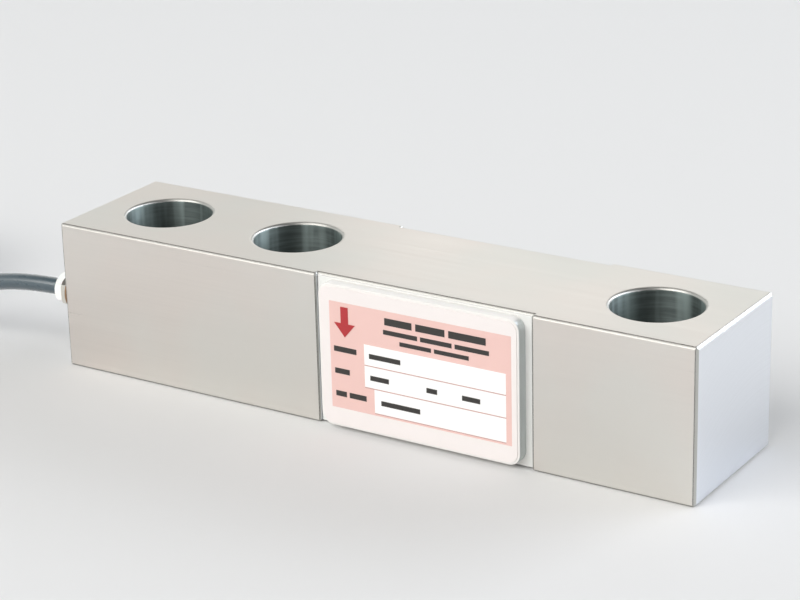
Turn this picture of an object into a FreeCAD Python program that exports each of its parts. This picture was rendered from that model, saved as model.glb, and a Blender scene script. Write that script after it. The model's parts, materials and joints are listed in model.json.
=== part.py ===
import FreeCAD, Part
import math
import os

# Shear beam load cell: a machined steel bar with two fixing bores, a load bore and a
# milled waist whose thin web carries the strain gauges, a cover plate over the gauge
# pocket, and a cable that leaves the fixing end through a small gland.
# Millimetres. Origin on the underside, midway between the fixing bores.
# +X runs towards the load bore, -Y is the face with the cover plate, +Z is up.

os.makedirs("parts", exist_ok=True)
V = FreeCAD.Vector

# Bar and bolt bores
cable_end_margin = 19.05
fixing_pitch = 38.1
load_pitch = 95.3
load_end_margin = 19.05
beam_width = 38.1
beam_height = 37.0
bore_dia = 21.0
bore_round = 0.8
long_edge_chamfer = 0.45
end_edge_chamfer = 0.6

# Waist, gauge pockets and web
waist_start = 17.85
waist_length = 56.5
waist_depth = 1.1
step_chamfer = 0.35
pocket_length = 36.0
pocket_height = 24.0
pocket_corner = 6.0
web_thickness = 6.0
rear_fill_setback = 0.6

# Gasket, cover plate and nameplate on the front
gasket_thickness = 0.4
gasket_end_gap = 0.25
gasket_edge_gap = 0.5
cover_end_gap = 1.85
cover_top_gap = 0.9
cover_bottom_gap = 1.2
cover_thickness = 2.7
cover_corner = 3.0
cover_edge_round = 0.3
nameplate_margin = 0.65
nameplate_thickness = 0.2

# Wire channel, drilled between the fixing bores and the front face
channel_dia = 3.6
channel_wall = 1.25
channel_height = 17.85

# Cable gland on the cable end
thread_clearance = 0.05
sleeve_clearance = 0.2
stem_dia = 6.4
stem_length = 8.0
washer_dia = 9.4
washer_thickness = 0.8
collar_flats = 8.2
collar_thickness = 1.6
spigot_dia = 6.0
spigot_length = 1.5
spigot_wall = 0.4
seal_depth = 2.6
nut_flats = 7.0
nut_length = 2.5
nut_shoulder = 0.9
nut_gap = 0.2
nut_dome = 1.1
hex_chamfer = 0.35

# Strain gauges, boards and inner wires
gauge_length = 10.0
gauge_height = 10.0
gauge_thickness = 0.3
grid_bar = 0.45
grid_pitch = 0.95
grid_rise = 0.15
grid_bars = 5
board_width = 7.0
board_height = 18.0
board_thickness = 1.0
board_inset = 2.4
cross_hole_dia = 3.2
link_wire_dia = 0.8
link_wire_pitch = 1.1
link_wires = 3
board_hole_clearance = 0.05
solder_length = 0.6
resistor_length = 3.2
resistor_width = 1.6
resistor_height = 0.6
resistor_spacing = 7.0
resistor_offset = 2.2
gauge_lead_dia = 0.4
gauge_lead_pitch = 1.2
gauge_lead_lift = 0.2
gauge_lead_overlap = 0.5
core_dia = 1.1
core_spread = 0.62
near_pad_x = -1.4
near_pad_z = 3.2
far_pad_x = 0.6
far_pad_z = 6.4

# Cable, its put-away hank and its bare end
cable_dia = 4.2
arc_share = 0.45
jacket_inside = 1.5
hank_pitch = 4.3
hank_columns = 3
hank_layers = 4
hank_inner_radius = 12.6
hank_run = 68.0
hank_start_x = -124.0
tie_thickness = 0.9
tie_width = 9.0
tie_overlap = 9.0
front_tie_from_fold = 5.0
rear_tie_from_fold = 32.0
hank_rim_round = 1.8
tail_run = 16.0
tail_entry_shift = 2.0
shrink_dia = 5.2
shrink_length = 12.0
shrink_overlap = 5.0
lead_dia = 1.2
lead_bundle = 0.9
lead_straight = 6.0
lead_drop_run = 7.0
lead_length = 24.0
lead_tip_dia = 0.7
lead_tip_length = 5.0
lead_fan = 2.3
lead_splay = 0.3
lead_rest_gap = 0.05

# Places worked out from the sizes above
fixing_x = fixing_pitch / 2
load_x = fixing_x + load_pitch
cable_end_x = -fixing_x - cable_end_margin
load_end_x = load_x + load_end_margin
bore_x = (-fixing_x, fixing_x, load_x)
waist_x0 = fixing_x + waist_start
waist_x1 = waist_x0 + waist_length
waist_mid_x = (waist_x0 + waist_x1) / 2
waist_face = beam_width / 2 - waist_depth
cover_back = -waist_face - gasket_thickness
cover_face = cover_back - cover_thickness
pocket_mid_z = beam_height / 2
pocket_x0 = waist_mid_x - pocket_length / 2
web_face = web_thickness / 2
channel_y = -(bore_dia / 2 + channel_wall + channel_dia / 2)
board_mid_x = pocket_x0 + board_inset + board_width / 2
jacket_end_x = cable_end_x + jacket_inside
collar_end = washer_thickness + collar_thickness
spigot_end = collar_end + spigot_length
nut_start = collar_end + nut_gap
nut_end = nut_start + nut_length
seal_end = nut_end - nut_shoulder
seal_start = seal_end - seal_depth
seal_dia = spigot_dia - 2 * spigot_wall
hank_radii = [hank_inner_radius + i * hank_pitch for i in range(hank_columns)]
hank_mid_radius = sum(hank_radii) / hank_columns
hank_top = tie_thickness + (hank_layers - 1) * hank_pitch + cable_dia
hank_far_x = hank_start_x - hank_run
run_z = tie_thickness + cable_dia / 2
tail_z = hank_top + shrink_dia / 2
tail_end_x = hank_start_x - tail_run

# Free cable: out of the gland, down to the surface and into the hank's outer front run
cable_route = [
    (jacket_end_x, channel_y, channel_height),
    (cable_end_x - 12.9, channel_y, channel_height),
    (-67.0, -13.8, 15.3),
    (-83.0, -15.0, 10.1),
    (-98.5, -17.4, 5.1),
    (-112.0, -20.0, run_z + 0.2),
    (-126.0, -hank_radii[-1], run_z),
    (-140.0, -hank_radii[-1] + 0.1, run_z),
]

# Bare end: up from the hank's last rear run, round the near fold and along its front run
tail_route = [
    (hank_start_x - tail_run, hank_mid_radius + tail_entry_shift, hank_top - cable_dia / 2),
    (hank_start_x + hank_mid_radius, hank_mid_radius, tail_z),
    (hank_start_x + hank_mid_radius, -hank_mid_radius, tail_z),
    (tail_end_x, -hank_mid_radius, tail_z),
]


def save(shape, node):
    """Write one piece as its own file"""
    shape.exportStep("parts/" + node + ".step")


def block(x, y, z):
    """Box between two corners, given as (low, high) on each axis"""
    return Part.makeBox(x[1] - x[0], y[1] - y[0], z[1] - z[0], V(x[0], y[0], z[0]))


def outward(distance):
    """Point on the gland's axis, this far out of the cable end"""
    return V(cable_end_x - distance, channel_y, channel_height)


def gland_rod(dia, start, end):
    """Round rod on the gland's axis between two distances out of the cable end"""
    return Part.makeCylinder(dia / 2, end - start, outward(start), V(-1, 0, 0))


def gland_hex(flats, start, end):
    """Hexagonal prism on the gland's axis, with one pair of flats upright"""
    corner = flats / math.sqrt(3)
    ring = []
    for i in range(7):
        angle = math.radians(60 * i + 30)
        ring.append(outward(start) + V(0, corner * math.cos(angle), corner * math.sin(angle)))
    return Part.Face(Part.makePolygon(ring)).extrude(V(start - end, 0, 0))


def rounded_plate(x, z, y, corner):
    """Upright plate between two Y planes, with its four corners rounded"""
    plate = block(x, y, z)
    upright = [e for e in plate.Edges if abs(e.tangentAt(e.FirstParameter).y) > 0.99]
    return plate.makeFillet(corner, upright)


def rod(start, end, dia):
    """Straight round wire between two points"""
    along = end - start
    return Part.makeCylinder(dia / 2, along.Length, start, along)


def cord_path(points):
    """Straight runs joined by tangent arcs as large as the runs allow, with their radii"""
    points = [V(*p) for p in points]
    edges = []
    radii = []
    last = points[0]
    for before, corner, after in zip(points, points[1:], points[2:]):
        back = (before - corner).normalize()
        ahead = (after - corner).normalize()
        half_turn = (math.pi - back.getAngle(ahead)) / 2
        reach = arc_share * min((before - corner).Length, (after - corner).Length)
        radius = reach / math.tan(half_turn)
        radii.append(radius)
        centre_way = (back + ahead).normalize()
        crown = corner + centre_way * (radius / math.cos(half_turn) - radius)
        begin = corner + back * reach
        end = corner + ahead * reach
        edges.append(Part.LineSegment(last, begin).toShape())
        edges.append(Part.Arc(begin, crown, end).toShape())
        last = end
    edges.append(Part.LineSegment(last, points[-1]).toShape())
    return Part.Wire(edges), radii


def tube(points, dia, name=None):
    """Round cord along a route; a named one has its radii and volume printed"""
    path, radii = cord_path(points)
    first = V(*points[0])
    ring = Part.Wire(Part.makeCircle(dia / 2, first, V(*points[1]) - first))
    solid = path.makePipeShell([ring], True, False)
    if name:
        share = solid.Volume / (math.pi * dia * dia / 4 * path.Length)
        print(name, "radii", [round(r, 1) for r in radii], "length", round(path.Length, 1),
              "volume share", round(share, 4))
    return solid


def pocket(side):
    """Gauge pocket from the waist face to the web, on the -1 (front) or +1 (rear) side"""
    x = (pocket_x0, pocket_x0 + pocket_length)
    z = (pocket_mid_z - pocket_height / 2, pocket_mid_z + pocket_height / 2)
    y = sorted((side * web_face, side * waist_face))
    return rounded_plate(x, z, y, pocket_corner)


def bore_cut(x):
    """Bolt bore through the bar, with a rounded mouth at each end"""
    wall = bore_dia / 2
    mouth = wall + bore_round
    bend = bore_round * (1 - math.sqrt(0.5))
    top = beam_height - bore_round
    low_arc = Part.Arc(V(mouth, 0, 0), V(wall + bend, 0, bend), V(wall, 0, bore_round))
    high_arc = Part.Arc(V(wall, 0, top), V(wall + bend, 0, beam_height - bend), V(mouth, 0, beam_height))
    edges = [Part.LineSegment(V(0, 0, 0), V(mouth, 0, 0)), low_arc,
             Part.LineSegment(V(wall, 0, bore_round), V(wall, 0, top)), high_arc,
             Part.LineSegment(V(mouth, 0, beam_height), V(0, 0, beam_height)),
             Part.LineSegment(V(0, 0, beam_height), V(0, 0, 0))]
    profile = Part.Face(Part.Wire([e.toShape() for e in edges]))
    cut = profile.revolve(V(0, 0, 0), V(0, 0, 1), 360)
    cut.translate(V(x, 0, 0))
    return cut


def on_plane(edge, places):
    """Whether an edge lies wholly at one of the given places along the bar"""
    box = edge.BoundBox
    return any(abs(box.XMin - x) < 1e-6 and abs(box.XMax - x) < 1e-6 for x in places)


def beam_body():
    """Bar with its bores, waist, gauge pockets, wire channel and gland hole"""
    half = beam_width / 2
    step = half - step_chamfer
    rear = [(load_end_x, half), (waist_x1 + step_chamfer, half), (waist_x1, step), (waist_x1, waist_face),
            (waist_x0, waist_face), (waist_x0, step), (waist_x0 - step_chamfer, half), (cable_end_x, half)]
    front = [(x, -y) for x, y in reversed(rear)]
    ring = [V(x, y, 0) for x, y in front + rear + front[:1]]
    bar = Part.Face(Part.makePolygon(ring)).extrude(V(0, 0, beam_height))
    ends = (cable_end_x, load_end_x)
    bar = bar.makeChamfer(end_edge_chamfer, [e for e in bar.Edges if on_plane(e, ends)])
    inner_ends = (cable_end_x + end_edge_chamfer, load_end_x - end_edge_chamfer)
    rims = [f for f in bar.Faces if abs(f.normalAt(0, 0).z) > 0.99]
    long_edges = [e for f in rims for e in f.Edges if not on_plane(e, inner_ends)]
    bar = bar.makeChamfer(long_edge_chamfer, long_edges)
    cuts = [bore_cut(x) for x in bore_x]
    cuts += [pocket(-1), pocket(1)]
    cuts.append(rod(outward(0), V(pocket_x0 + pocket_corner, channel_y, channel_height), channel_dia))
    cuts.append(gland_rod(stem_dia + 2 * thread_clearance, -stem_length, 0))
    cuts.append(rod(V(board_mid_x, -waist_face, pocket_mid_z), V(board_mid_x, waist_face, pocket_mid_z),
                    cross_hole_dia))
    return bar.cut(cuts)


def cover_gasket():
    """Thin white sheet that seals the cover to the floor of the waist"""
    return block((waist_x0 + gasket_end_gap, waist_x1 - gasket_end_gap), (cover_back, -waist_face),
                 (gasket_edge_gap, beam_height - gasket_edge_gap))


def front_cover():
    """Flat cover plate with rounded corners and a softened front rim"""
    x = (waist_x0 + cover_end_gap, waist_x1 - cover_end_gap)
    z = (cover_bottom_gap, beam_height - cover_top_gap)
    plate = rounded_plate(x, z, (cover_face, cover_back), cover_corner)
    rim = [e for e in plate.Edges if abs(e.BoundBox.YMax - cover_face) < 1e-6]
    return plate.makeFillet(cover_edge_round, rim)


def nameplate():
    """Thin printed film on the flat of the cover"""
    x = (waist_x0 + cover_end_gap + nameplate_margin, waist_x1 - cover_end_gap - nameplate_margin)
    z = (cover_bottom_gap + nameplate_margin, beam_height - cover_top_gap - nameplate_margin)
    y = (cover_face - nameplate_thickness, cover_face)
    return rounded_plate(x, z, y, cover_corner - nameplate_margin)


def shear_gauge(side):
    """Gauge patch on the web with two foil grids, one along each diagonal"""
    y = sorted((side * web_face, side * (web_face + gauge_thickness)))
    patch = block((waist_mid_x - gauge_length / 2, waist_mid_x + gauge_length / 2), y,
                  (pocket_mid_z - gauge_height / 2, pocket_mid_z + gauge_height / 2))
    top = sorted((side * (web_face + gauge_thickness / 2), side * (web_face + gauge_thickness + grid_rise)))
    bar_length = gauge_length / 4
    bars = []
    for lean in (-1, 1):
        middle = V(waist_mid_x + lean * gauge_length / 4, 0, pocket_mid_z)
        for i in range(grid_bars):
            shift = (i - (grid_bars - 1) / 2) * grid_pitch
            bar = block((middle.x - bar_length / 2, middle.x + bar_length / 2), top,
                        (middle.z + shift - grid_bar / 2, middle.z + shift + grid_bar / 2))
            bar.rotate(middle, V(0, 1, 0), 45 * lean)
            bars.append(bar)
    return patch.multiFuse(bars).removeSplitter()


def link_wire_z(i):
    """Height of one wire that joins the two boards through the web"""
    return pocket_mid_z + (i - (link_wires - 1) / 2) * link_wire_pitch


def board_blank(side):
    """Small board on the web, before it is drilled"""
    y = sorted((side * web_face, side * (web_face + board_thickness)))
    return block((board_mid_x - board_width / 2, board_mid_x + board_width / 2), y,
                 (pocket_mid_z - board_height / 2, pocket_mid_z + board_height / 2))


def terminal_board(side):
    """Board drilled for the wires that join the two sides"""
    hole_dia = link_wire_dia + 2 * board_hole_clearance
    reach = web_face + board_thickness
    holes = []
    for i in range(link_wires):
        z = link_wire_z(i)
        holes.append(rod(V(board_mid_x, -reach, z), V(board_mid_x, reach, z), hole_dia))
    return board_blank(side).cut(holes)


def board_link_wires():
    """Wires from board to board through the web"""
    reach = web_face + board_thickness + solder_length
    wires = []
    for i in range(link_wires):
        z = link_wire_z(i)
        wires.append(rod(V(board_mid_x, -reach, z), V(board_mid_x, reach, z), link_wire_dia))
    return Part.makeCompound(wires)


def trim_resistors():
    """Balance resistors on the front board"""
    face = -web_face - board_thickness
    x = board_mid_x + resistor_offset
    chips = []
    for lean in (-1, 1):
        z = pocket_mid_z + lean * resistor_spacing / 2
        chips.append(block((x - resistor_width / 2, x + resistor_width / 2), (face - resistor_height, face),
                           (z - resistor_length / 2, z + resistor_length / 2)))
    return Part.makeCompound(chips)


def gauge_leads(side):
    """Fine wires from the board's edge to the gauge"""
    board_y = side * (web_face + board_thickness + gauge_lead_lift + gauge_lead_dia / 2)
    gauge_y = side * (web_face + gauge_thickness + grid_rise + gauge_lead_dia / 2)
    start_x = board_mid_x + board_width / 2 - gauge_lead_overlap
    end_x = waist_mid_x - gauge_length / 2 + gauge_lead_overlap
    wires = []
    for lean in (-1, 0, 1):
        z = pocket_mid_z + lean * gauge_lead_pitch
        wires.append(rod(V(start_x, board_y, z), V(end_x, gauge_y, z), gauge_lead_dia))
    return Part.makeCompound(wires)


def inner_core(across, up):
    """One cable core through the channel, turned down on to the front board"""
    pad = (near_pad_x, near_pad_z) if across > 0 else (far_pad_x, far_pad_z)
    y = channel_y + across * core_spread
    z = channel_height + up * core_spread
    pad_x = board_mid_x + pad[0]
    route = [(jacket_end_x, y, z), (pad_x, y, z), (pad_x, -web_face, pocket_mid_z + up * pad[1])]
    return tube(route, core_dia).cut(terminal_board(-1)).Solids[0]


def potting(side, inner, setback):
    """Sealing compound that fills a gauge pocket round the pieces in it"""
    fill = pocket(side)
    if setback:
        y = sorted((side * waist_face, side * (waist_face - setback)))
        fill = fill.cut(block((waist_x0, waist_x1), y, (0, beam_height)))
    return fill.cut(inner + [board_blank(side)])


def gland_washer():
    """Sealing ring between the gland and the bar"""
    return gland_rod(washer_dia, 0, washer_thickness).cut(
        gland_rod(stem_dia + 2 * thread_clearance, 0, washer_thickness))


def hex_between(flats, start, end, dome=0):
    """Hexagon with chamfered corners, and a domed outer end where one is given"""
    corner = flats / math.sqrt(3)
    length = end - start
    last = dome or hex_chamfer
    shoulder = V(length - last, corner, 0)
    tip = V(length, corner - last, 0)
    side = [V(0, 0, 0), V(0, corner - hex_chamfer, 0), V(hex_chamfer, corner, 0), shoulder]
    edges = [Part.LineSegment(a, b).toShape() for a, b in zip(side, side[1:])]
    if dome:
        middle = V(length - dome, corner - dome, 0) + V(1, 1, 0).normalize() * dome
        edges.append(Part.Arc(shoulder, middle, tip).toShape())
    else:
        edges.append(Part.LineSegment(shoulder, tip).toShape())
    edges.append(Part.LineSegment(tip, V(length, 0, 0)).toShape())
    edges.append(Part.LineSegment(V(length, 0, 0), V(0, 0, 0)).toShape())
    turned = Part.Face(Part.Wire(edges)).revolve(V(0, 0, 0), V(1, 0, 0), 360)
    turned.rotate(V(0, 0, 0), V(0, 0, 1), 180)
    turned.translate(outward(start))
    return gland_hex(flats, start, end).common(turned)


def gland_body():
    """Threaded stem, hexagonal collar and spigot, bored for the cable and its seal"""
    collar = hex_between(collar_flats, washer_thickness, collar_end)
    stem = gland_rod(stem_dia, -stem_length, washer_thickness)
    spigot = gland_rod(spigot_dia, collar_end, spigot_end)
    bored = gland_rod(cable_dia + 2 * sleeve_clearance, -stem_length, spigot_end)
    seat = gland_rod(seal_dia, seal_start, spigot_end)
    return collar.multiFuse([stem, spigot]).cut([bored, seat]).removeSplitter()


def gland_seal():
    """Rubber bush squeezed round the cable"""
    return gland_rod(seal_dia, seal_start, seal_end).cut(gland_rod(cable_dia, seal_start, seal_end))


def gland_nut():
    """Domed clamping nut"""
    nut = hex_between(nut_flats, nut_start, nut_end, nut_dome)
    thread = gland_rod(spigot_dia + 2 * thread_clearance, nut_start, seal_end)
    exit_hole = gland_rod(cable_dia + 2 * sleeve_clearance, nut_start, nut_end)
    return nut.cut([thread, exit_hole])


def hank_section(x):
    """Rounded section of the wound turns across the front run, at one place along it"""
    near = -(hank_inner_radius - cable_dia / 2)
    far = -(hank_radii[-1] + cable_dia / 2)
    edge = block((x, x + 1), (far, near), (tie_thickness, hank_top))
    along = [e for e in edge.Edges if abs(e.tangentAt(e.FirstParameter).x) > 0.99]
    rounded = edge.makeFillet(hank_rim_round, along)
    return [f for f in rounded.Faces if abs(f.BoundBox.XMax - x) < 1e-6][0]


def cable_hank():
    """Outer shape of the wound turns: two straight runs joined by a fold at each end"""
    front = hank_section(hank_far_x).extrude(V(hank_run, 0, 0))
    rear = front.mirror(V(0, 0, 0), V(0, 1, 0))
    near_fold = hank_section(hank_start_x).revolve(V(hank_start_x, 0, 0), V(0, 0, 1), 180)
    far_fold = hank_section(hank_far_x).revolve(V(hank_far_x, 0, 0), V(0, 0, -1), 180)
    return front.multiFuse([rear, near_fold, far_fold]).removeSplitter()


def hank_tie(side, from_fold, crown):
    """Band round one long side of the hank, raised over what lies on top, with a lapped end"""
    x = hank_start_x - from_fold
    low = side * (hank_inner_radius - cable_dia / 2)
    high = side * (hank_radii[-1] + cable_dia / 2)
    inside = [(low, tie_thickness), (high, tie_thickness), (high, hank_top)]
    if crown:
        middle = side * hank_mid_radius
        for shift in (cable_dia / 2, -cable_dia / 2):
            inside.append((middle + side * shift, hank_top + crown))
    inside.append((low, hank_top))
    ring = [V(x - tie_width / 2, y, z) for y, z in inside + inside[:1]]
    hole = Part.Face(Part.makePolygon(ring))
    band = hole.makeOffset2D(tie_thickness, 0).cut(hole).extrude(V(tie_width, 0, 0))
    inner = low - side * tie_thickness
    lap = block((x - tie_width / 2, x + tie_width / 2), sorted((inner, inner - side * tie_thickness)),
                (hank_top - tie_overlap, hank_top))
    return band.fuse(lap).removeSplitter()


def shrink_sleeve(inside):
    """Shrunk sleeve over the end of the jacket and the cores that leave it"""
    start = V(tail_end_x + shrink_overlap, -hank_mid_radius, tail_z)
    end = V(tail_end_x + shrink_overlap - shrink_length, -hank_mid_radius, tail_z)
    sleeve = rod(start, end, shrink_dia)
    jacket = rod(start, V(tail_end_x, -hank_mid_radius, tail_z), cable_dia)
    return sleeve.cut([jacket] + inside)


def bare_lead(place, across, up):
    """One coloured core beyond the sleeve, fanned out on the hank, with a tinned tip"""
    y = -hank_mid_radius + across * lead_bundle
    z = tail_z + up * lead_bundle
    rest_y = -hank_mid_radius + place * lead_fan
    rest_z = hank_top + lead_rest_gap + lead_dia / 2
    knee = tail_end_x + shrink_overlap - shrink_length - lead_straight
    far = V(knee - lead_length, rest_y + place * lead_splay, rest_z)
    route = [(tail_end_x, y, z), (knee, y, z), (knee - lead_drop_run, rest_y, rest_z), tuple(far)]
    tip = rod(far, far - V(lead_tip_length, 0, 0), lead_tip_dia)
    return tube(route, lead_dia).fuse(tip)


# Bar and what closes it
save(beam_body(), "beam_body")
save(cover_gasket(), "cover_gasket")
save(front_cover(), "front_cover")
save(nameplate(), "nameplate")

# Gauge pockets
cores = {
    "red_core": inner_core(1, 1),
    "black_core": inner_core(1, -1),
    "green_core": inner_core(-1, 1),
    "white_core": inner_core(-1, -1),
}
pieces = {
    "front_shear_gauge": shear_gauge(-1),
    "rear_shear_gauge": shear_gauge(1),
    "front_terminal_board": terminal_board(-1),
    "rear_terminal_board": terminal_board(1),
    "board_link_wires": board_link_wires(),
    "trim_resistors": trim_resistors(),
    "front_gauge_leads": gauge_leads(-1),
    "rear_gauge_leads": gauge_leads(1),
}
pieces.update(cores)
for node, shape in pieces.items():
    save(shape, node)
save(potting(-1, list(pieces.values()), 0), "front_potting")
save(potting(1, list(pieces.values()), rear_fill_setback), "rear_potting")

# Gland
save(gland_washer(), "gland_washer")
save(gland_body(), "gland_body")
save(gland_seal(), "gland_seal")
save(gland_nut(), "gland_nut")

# Cable
hank = cable_hank()
leads = {
    "red_lead": bare_lead(-2, -1, 1),
    "black_lead": bare_lead(-1, -1, -1),
    "screen_lead": bare_lead(0, 0, 0),
    "green_lead": bare_lead(1, 1, -1),
    "white_lead": bare_lead(2, 1, 1),
}
save(tube(cable_route, cable_dia, "cable").cut(hank), "cable")
save(hank, "cable_hank")
save(tube(tail_route, cable_dia, "cable_tail").cut(hank), "cable_tail")
save(shrink_sleeve(list(leads.values())), "shrink_sleeve")
save(hank_tie(-1, front_tie_from_fold, tail_z + cable_dia / 2 - hank_top), "front_hank_tie")
save(hank_tie(1, rear_tie_from_fold, 0), "rear_hank_tie")
for node, shape in leads.items():
    save(shape, node)
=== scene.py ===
import json
import math

import bmesh
import bpy
from bpy.props import FloatProperty, FloatVectorProperty, PointerProperty
from mathutils import Matrix, Vector


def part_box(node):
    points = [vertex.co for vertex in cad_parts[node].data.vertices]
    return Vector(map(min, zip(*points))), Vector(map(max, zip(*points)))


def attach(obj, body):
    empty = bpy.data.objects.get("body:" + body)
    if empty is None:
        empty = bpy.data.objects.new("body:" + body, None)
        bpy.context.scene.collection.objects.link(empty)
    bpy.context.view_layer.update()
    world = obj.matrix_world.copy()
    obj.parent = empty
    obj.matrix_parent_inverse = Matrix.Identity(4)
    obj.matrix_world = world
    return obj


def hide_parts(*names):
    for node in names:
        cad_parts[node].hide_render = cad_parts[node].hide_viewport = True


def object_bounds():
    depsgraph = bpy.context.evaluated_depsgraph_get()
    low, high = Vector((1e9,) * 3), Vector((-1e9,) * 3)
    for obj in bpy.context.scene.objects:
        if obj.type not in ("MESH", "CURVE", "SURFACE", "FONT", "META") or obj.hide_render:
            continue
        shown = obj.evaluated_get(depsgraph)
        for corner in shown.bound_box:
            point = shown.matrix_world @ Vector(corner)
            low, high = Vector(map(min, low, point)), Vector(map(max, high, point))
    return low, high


bl_info = {
    "name": "Shear beam load cell",
    "version": (1, 0, 0),
    "blender": (4, 5, 0),
    "location": "View3D > Sidebar > Load cell",
    "description": "Dresses a shear beam load cell: ground bar, nameplate, gland and cable",
    "category": "Object",
}

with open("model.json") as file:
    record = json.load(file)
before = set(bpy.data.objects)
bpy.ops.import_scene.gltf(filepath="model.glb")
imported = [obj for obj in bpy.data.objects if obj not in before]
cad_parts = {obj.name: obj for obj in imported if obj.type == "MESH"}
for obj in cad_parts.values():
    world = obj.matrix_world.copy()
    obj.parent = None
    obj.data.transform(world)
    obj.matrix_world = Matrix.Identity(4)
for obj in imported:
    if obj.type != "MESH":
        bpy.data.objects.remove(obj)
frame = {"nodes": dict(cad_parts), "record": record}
cad_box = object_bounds()

MM = 0.001
BODY = "root"


def linear(code):
    """Linear colour of an sRGB hex value"""
    channels = [int(code[i:i + 2], 16) / 255 for i in (0, 2, 4)]
    return tuple(c / 12.92 if c <= 0.04045 else ((c + 0.055) / 1.055) ** 2.4 for c in channels)


def mm(value):
    """Length in metres of a size in millimetres"""
    return value * MM


# Settings


class BarSettings(bpy.types.PropertyGroup):
    """Finish of the machined bar and its cover plate"""

    steel: FloatVectorProperty(
        name="Plated steel", description="Reflected colour of the nickel plated bar",
        subtype="COLOR", min=0, max=1, default=linear("E4DDD7"))
    hazed_steel: FloatVectorProperty(
        name="Hazed steel", description="Cooler colour of the broad patches in the plating",
        subtype="COLOR", min=0, max=1, default=linear("E0DFDA"))
    # Painted light: the end faces get a brighter, cooler colour than the plating, as if lit from the side
    milled_and_lit_steel: FloatVectorProperty(
        name="Milled steel", description="Reflected colour of the milled end faces",
        subtype="COLOR", min=0, max=1, default=linear("F3F6FB"))
    # Painted shade and highlights: the bores' walls are darkened and lightened from this colour
    bored_steel: FloatVectorProperty(
        name="Bored steel", description="Reflected colour of the walls of the bores",
        subtype="COLOR", min=0, max=1, default=linear("8E9A98"))
    cover: FloatVectorProperty(
        name="Cover plate", description="Colour of the cover plate's coat",
        subtype="COLOR", min=0, max=1, default=linear("F2EFEC"))
    # Painted shade: this grey is given to the cover plate's sides that face along the bar
    sheared: FloatVectorProperty(
        name="Sheared ends", description="Reflected colour of the cover plate's bare ends",
        subtype="COLOR", min=0, max=1, default=linear("CBD0D0"))
    gasket: FloatVectorProperty(
        name="Gasket", description="Colour of the sheet under the cover plate",
        subtype="COLOR", min=0, max=1, default=linear("F1F1EE"))
    line_width: FloatProperty(
        name="Grinding line", description="Width of one grinding line on the flat faces",
        unit="LENGTH", min=mm(0.05), default=mm(0.4))
    line_length: FloatProperty(
        name="Line length", description="Usual length of one grinding line",
        unit="LENGTH", min=mm(1), default=mm(70))
    edge_round: FloatProperty(
        name="Edge rounding", description="Radius to which tumbling has rounded the broken edges",
        unit="LENGTH", min=0, default=mm(0.45))
    bore_feed: FloatProperty(
        name="Bore feed", description="Spacing of the rings that boring leaves on a wall",
        unit="LENGTH", min=mm(0.05), default=mm(0.7))


class LabelSettings(bpy.types.PropertyGroup):
    """Printed film on the cover plate"""

    film: FloatVectorProperty(
        name="Film", description="Colour of the unprinted film",
        subtype="COLOR", min=0, max=1, default=linear("F3ECEA"))
    tint: FloatVectorProperty(
        name="Tint", description="Colour of the printed panel",
        subtype="COLOR", min=0, max=1, default=linear("EEC7C0"))
    field: FloatVectorProperty(
        name="Field", description="Colour of the blank fields",
        subtype="COLOR", min=0, max=1, default=linear("FFFFFE"))
    rule: FloatVectorProperty(
        name="Rule", description="Colour of the thin rules between the fields",
        subtype="COLOR", min=0, max=1, default=linear("C79A94"))
    dark: FloatVectorProperty(
        name="Dark ink", description="Colour of the dark bars",
        subtype="COLOR", min=0, max=1, default=linear("2B2825"))
    accent: FloatVectorProperty(
        name="Accent", description="Colour of the load arrow",
        subtype="COLOR", min=0, max=1, default=linear("B3242B"))
    ink: FloatProperty(
        name="Ink thickness", description="Thickness of one printed layer",
        unit="LENGTH", min=mm(0.005), default=mm(0.02))


class CableSettings(bpy.types.PropertyGroup):
    """Cable, its put-away hank and its bare end"""

    jacket: FloatVectorProperty(
        name="Jacket", description="Colour of the cable's jacket",
        subtype="COLOR", min=0, max=1, default=linear("384B55"))
    band: FloatVectorProperty(
        name="Tie", description="Colour of the woven ties",
        subtype="COLOR", min=0, max=1, default=linear("2A2C30"))
    diameter: FloatProperty(
        name="Diameter", description="Outside diameter of the jacket",
        unit="LENGTH", min=mm(1), default=mm(4.2))
    length: FloatProperty(
        name="Length", description="Length of the whole cable",
        unit="LENGTH", min=mm(200), default=mm(3000))
    pitch: FloatProperty(
        name="Turn pitch", description="Distance between the middles of two turns side by side",
        unit="LENGTH", min=mm(1), default=mm(4.3))
    fold_radius: FloatProperty(
        name="Inner fold", description="Radius of the innermost fold of the hank",
        unit="LENGTH", min=mm(5), default=mm(12.6))
    near_x: FloatProperty(
        name="Near fold", description="Place along the bar where the hank's near folds start",
        unit="LENGTH", default=mm(-124))
    far_x: FloatProperty(
        name="Far fold", description="Place along the bar where the hank's far folds start",
        unit="LENGTH", default=mm(-192))


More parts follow.
